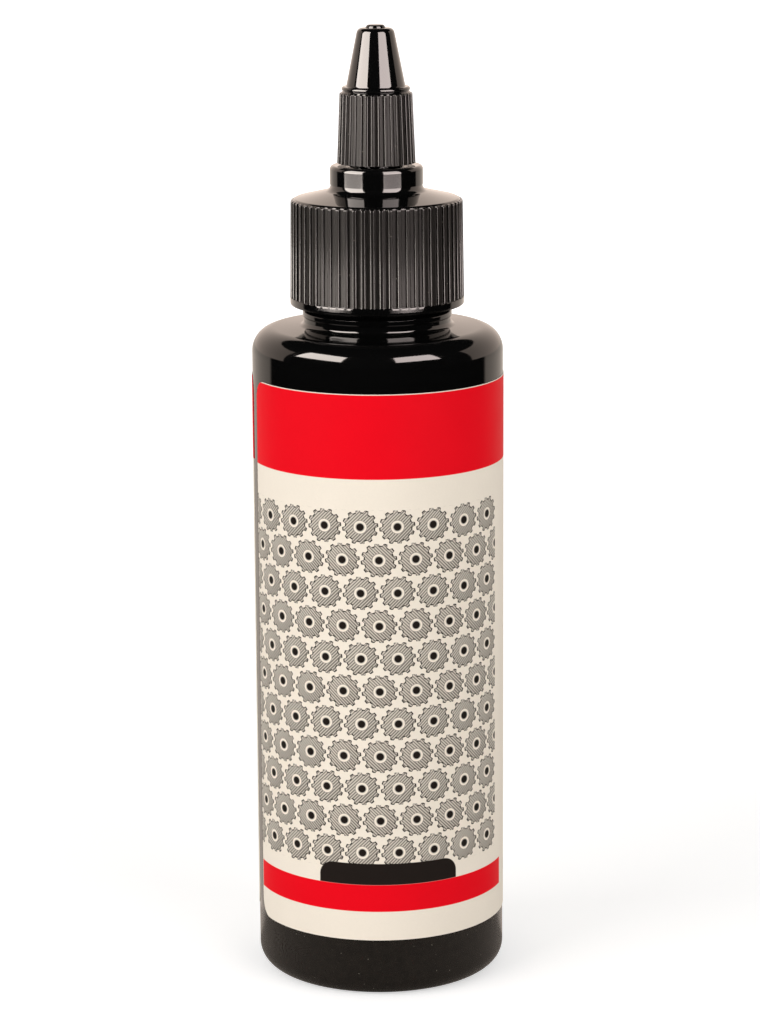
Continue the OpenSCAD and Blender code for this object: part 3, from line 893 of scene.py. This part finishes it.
def printed_film():
    """The label's film with its print."""
    material, tree = new_material("printed_film")
    x, y, z = tree.axes(1000)
    along = x.math("ARCTAN2", x, 0 - y) * body_r
    ink = wheel_pattern(tree, along, z) + ruled_rows(tree, along, z)
    colour = tree.paint(ink, CREAM, INK)
    tab_mid = (tab_left + tab_right) / 2
    from_mid = (along - tab_mid).math("ABSOLUTE", along - tab_mid)
    corner_u = from_mid - ((tab_right - tab_left) / 2 - tab_corner)
    corner_u = corner_u.math("MAXIMUM", corner_u, 0)
    corner_v = z - (tab_top_z - tab_corner)
    corner_v = corner_v.math("MAXIMUM", corner_v, 0)
    tab_reach = corner_u.math("SQRT", corner_u * corner_u + corner_v * corner_v)
    tab = (1 - tree.above(tab_reach, tab_corner, SHARP_MM)) * tree.above(z, stripe_high_z, SHARP_MM)
    colour = tree.paint(tab, colour, INK)
    red = tree.between(z, red_field_z, label_top_z - edge_line, SHARP_MM)
    stripe = tree.between(z, stripe_low_z, stripe_high_z, SHARP_MM)
    stripe = stripe * tree.between(along, label_start + edge_line, stripe_end, SHARP_MM)
    red = red.math("MAXIMUM", red, stripe)
    colour = tree.paint(red, colour, RED)
    # Print and film are a little uneven
    tint = tree.noise(0.006, 3) * 0.05 + tree.noise(0.0003, 1) * 0.04 + 0.93
    colour = tree.add(
        "Mix", {0: 1.0, 6: colour, 7: tint}, output=2, data_type="RGBA", blend_type="MULTIPLY")
    waves = tree.noise(0.0025, 2) * 0.004
    normal = tree.add("Bump", {"Height": waves, "Distance": 0.001, "Strength": 1.0})
    shader = tree.add("BsdfPrincipled", {
        "Base Color": colour, "Roughness": tree.noise(0.003, 3) * 0.08 + 0.4, "Normal": normal,
        "IOR": 1.45, "Specular IOR Level": 0.06})
    tree.add("OutputMaterial", {0: shader})
    return material


make(label_mesh, "label_wrap", printed_film(), "bottle", "wrap_label")

# %% [markdown]
# ## The foam liner
# A white disc of foamed plastic in the cap's ceiling. The CAD node has the right shape, so it
# stays and only gets a finish: fine closed cells that catch the light.

# %% Finish the liner
foam, foam_tree = new_material("liner_foam")
cells = foam_tree.noise(0.0004, 2)
foam_colour = foam_tree.paint(cells, srgb(214, 212, 205), srgb(240, 239, 234))
foam_normal = foam_tree.add("Bump", {"Height": cells * 0.03, "Distance": 0.001, "Strength": 1.0})
foam_shader = foam_tree.add("BsdfPrincipled", {
    "Base Color": foam_colour, "Roughness": 0.7, "Normal": foam_normal, "IOR": 1.45})
foam_tree.add("OutputMaterial", {0: foam_shader})
for material_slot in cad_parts["cap_liner"].material_slots:
    material_slot.material = foam

# %% [markdown]
# ## Light
# Gloss black has no colour of its own: what it shows is the room. The photograph's gloss tells
# the room: two tall soft panels in front, a white surround behind, and darkness behind the
# camera and overhead. The lamps that light the label are kept apart from the panels that are
# only seen in the gloss, so that colours render about as they are written.


# %% The world, the floor and the dark room
def stage_piece(bm, name, material, only_gloss=True):
    """A piece of the studio, which isn't part of the object."""
    mesh = bpy.data.meshes.new(name)
    bm.to_mesh(mesh)
    bm.free()
    obj = bpy.data.objects.new(name, mesh)
    obj.data.materials.append(material)
    bpy.context.scene.collection.objects.link(obj)
    if only_gloss:
        obj.visible_camera = False
        obj.visible_diffuse = False
        obj.visible_shadow = False
        obj.visible_transmission = False
        obj.visible_volume_scatter = False
    return obj


WHITE = (1, 1, 1, 1)
world = bpy.data.worlds.new("studio")
bpy.context.scene.world = world
sky = Tree(world)
camera_ray = sky.add("LightPath", output="Is Camera Ray")
ray_kinds = camera_ray.socket.node.outputs
mirror_ray = Wire(sky, ray_kinds["Is Glossy Ray"]) * (1 - camera_ray)
clear_ray = Wire(sky, ray_kinds["Is Transmission Ray"]) * (1 - mirror_ray)
ambient = 0.38
surround_level = 1.12
strength = (
    camera_ray * (1 - ambient) + mirror_ray * (surround_level - ambient)
    + clear_ray * (1 - ambient) + ambient)
sky_colour = sky.paint(mirror_ray, WHITE, (1, 0.83, 0.72, 1))
sky.add("OutputWorld", {0: sky.add("Background", {"Color": sky_colour, "Strength": strength})})

floor_material, floor_tree = new_material("floor")
# In the gloss the pale sheet is bright behind, dim close in front, and dark further in front
sheet_reach = 0.16
sheet_front_level, sheet_side_level, sheet_back_level = 0.14, 0.2, 0.85
sheet_back_half_deg = 66
white_from, white_blur = 0.5, 0.8
white_near, white_far = 0.5, 1.1

fx, fy = floor_tree.axes(1)[:2]
floor_ray = floor_tree.add("LightPath", output="Is Camera Ray")
glossy_ray = Wire(floor_tree, floor_ray.socket.node.outputs["Is Glossy Ray"])
away = (fx * fx + fy * fy).math("SQRT", fx * fx + fy * fy) + 0.0001
to_back = fy / away
to_side = fx.math("ABSOLUTE", fx) / away
side_level = to_side * to_side * sheet_side_level + sheet_front_level
sheet_front = (1 - floor_tree.above(away, sheet_reach, sheet_reach)) * side_level
sheet_back = floor_tree.above(to_back, math.cos(math.radians(sheet_back_half_deg)), 0.06)
sheet_back = sheet_back * sheet_back_level
gloss_level = sheet_front.math("MAXIMUM", sheet_front, sheet_back)
floor_paint = floor_tree.add("BsdfDiffuse", {"Color": (0.85, 0.84, 0.83, 1)})
white_level = floor_tree.above(away, white_from, white_blur) * (white_far - white_near) + white_near
floor_glow = floor_tree.add("Emission", {"Color": WHITE, "Strength": white_level})
floor_white = floor_tree.add("AddShader", {0: floor_paint, 1: floor_glow})
floor_gloss = floor_tree.add("Emission", {"Color": (1, 0.87, 0.76, 1), "Strength": gloss_level})
floor_camera = floor_tree.add("MixShader", {0: floor_ray, 1: floor_paint, 2: floor_white})
floor_all = floor_tree.add("MixShader", {0: glossy_ray, 1: floor_camera, 2: floor_gloss})
floor_tree.add("OutputMaterial", {0: floor_all})
floor_mesh = bmesh.new()
bmesh.ops.create_grid(floor_mesh, x_segments=1, y_segments=1, size=5)
stage_piece(floor_mesh, "floor", floor_material, only_gloss=False)

dark_material, dark_tree = new_material("dark_room")
dark_glow = dark_tree.add("Emission", {"Color": (0.01, 0.01, 0.01, 1), "Strength": 1.0})
dark_tree.add("OutputMaterial", {0: dark_glow})
room_r = 2.0
surround_half_deg = 84
surround_top_deg = 37
room_mesh = bmesh.new()
bmesh.ops.create_uvsphere(room_mesh, u_segments=72, v_segments=90, radius=room_r)
open_faces = []
for face in room_mesh.faces:
    cx, cy, cz = face.calc_center_median()
    from_back_deg = math.degrees(math.atan2(abs(cx), cy))
    up_deg = math.degrees(math.asin(max(-1, min(1, cz / room_r))))
    if up_deg < 0 or (from_back_deg < surround_half_deg and up_deg < surround_top_deg):
        open_faces.append(face)
bmesh.ops.delete(room_mesh, geom=open_faces, context="FACES")
stage_piece(room_mesh, "dark_room", dark_material)

# %% [markdown]
# A panel is a plain rectangle. Its mirror image in the gloss says where it stands: round the
# axis, a wall that faces halfway between the camera and the panel shows it. Each panel is made of
# bands of different glow, one above another. Those that the ribs' corners show are the brightest,
# and nothing glows lower, so the cap's plain band stays dark. The shoulder shows only the
# topmost band, so light linking, which says what a light falls on, keeps the lower ones to the
# cap and the tip.


# %% Panels and lamps
def placed(turn_deg, distance, height, tilt_deg=90):
    """Places something at a turn round the axis from the camera's side, facing the bottle.
    A tilt of 90 degrees stands it upright and one of 0 lays it flat."""
    turn = Matrix.Rotation(math.radians(turn_deg), 4, "Z")
    tilt = Matrix.Rotation(math.radians(tilt_deg), 4, "X")
    return turn @ Matrix.Translation((0, -distance, height)) @ tilt


def gloss_panel(name, place, width, height, glow, tint, falls_on=None):
    """A glowing rectangle that is only seen in the gloss, of everything or of one collection."""
    material, tree = new_material(name)
    tree.add("OutputMaterial", {0: tree.add("Emission", {"Color": (*tint, 1), "Strength": glow})})
    bm = bmesh.new()
    bmesh.ops.create_grid(
        bm, x_segments=1, y_segments=1, size=0.5, matrix=place @ Matrix.Diagonal((width, height, 1, 1)))
    panel = stage_piece(bm, name, material)
    if falls_on:
        panel.light_linking.receiver_collection = falls_on


def soft_lamp(name, turn_deg, watts, tint, size=0.8, distance=0.9):
    """An area lamp that lights the surfaces and isn't seen in the gloss."""
    data = bpy.data.lights.new(name, "AREA")
    data.shape = "SQUARE"
    data.size = size
    data.energy = watts
    data.color = tint
    lamp = bpy.data.objects.new(name, data)
    lamp.matrix_world = placed(turn_deg, distance, size / 2)
    lamp.visible_glossy = False
    lamp.visible_camera = False
    bpy.context.scene.collection.objects.link(lamp)


LEFT_TINT = (1.0, 0.9, 0.83)
RIGHT_TINT = (1.0, 0.87, 0.83)
LAMP_TINT = (1.0, 0.985, 0.97)
panel_distance = 0.66
# Each band's lower and upper edge in metres, and its share of the panel's glow
panel_bands = (
    (0.004, 0.03, 1.6), (0.03, 0.08, 0.28), (0.08, 0.13, 1.3), (0.13, 0.43, 1.0), (0.43, 0.89, 1.0))
lower_bands_top = 0.43
cap_and_tip = bpy.data.collections.new("cap_and_tip")
for name in ("cap_shell", "tip_post", "tip_shell", "valve_plug"):
    cap_and_tip.objects.link(bpy.data.objects[name])
for side, turn_deg, panel_w, glow, tint in (
        ("left", -60, 0.62, 16, LEFT_TINT), ("right", 40, 0.55, 12, RIGHT_TINT)):
    for index, (low, high, share) in enumerate(panel_bands):
        place = placed(turn_deg, panel_distance, (low + high) / 2)
        falls_on = cap_and_tip if high <= lower_bands_top else None
        gloss_panel(f"{side}_panel_{index}", place, panel_w, high - low, glow * share, tint, falls_on)
soft_lamp("left_lamp", -57, 6.7, LAMP_TINT)
soft_lamp("right_lamp", 44, 4.6, LAMP_TINT)

bpy.context.scene.view_settings.view_transform = "Standard"
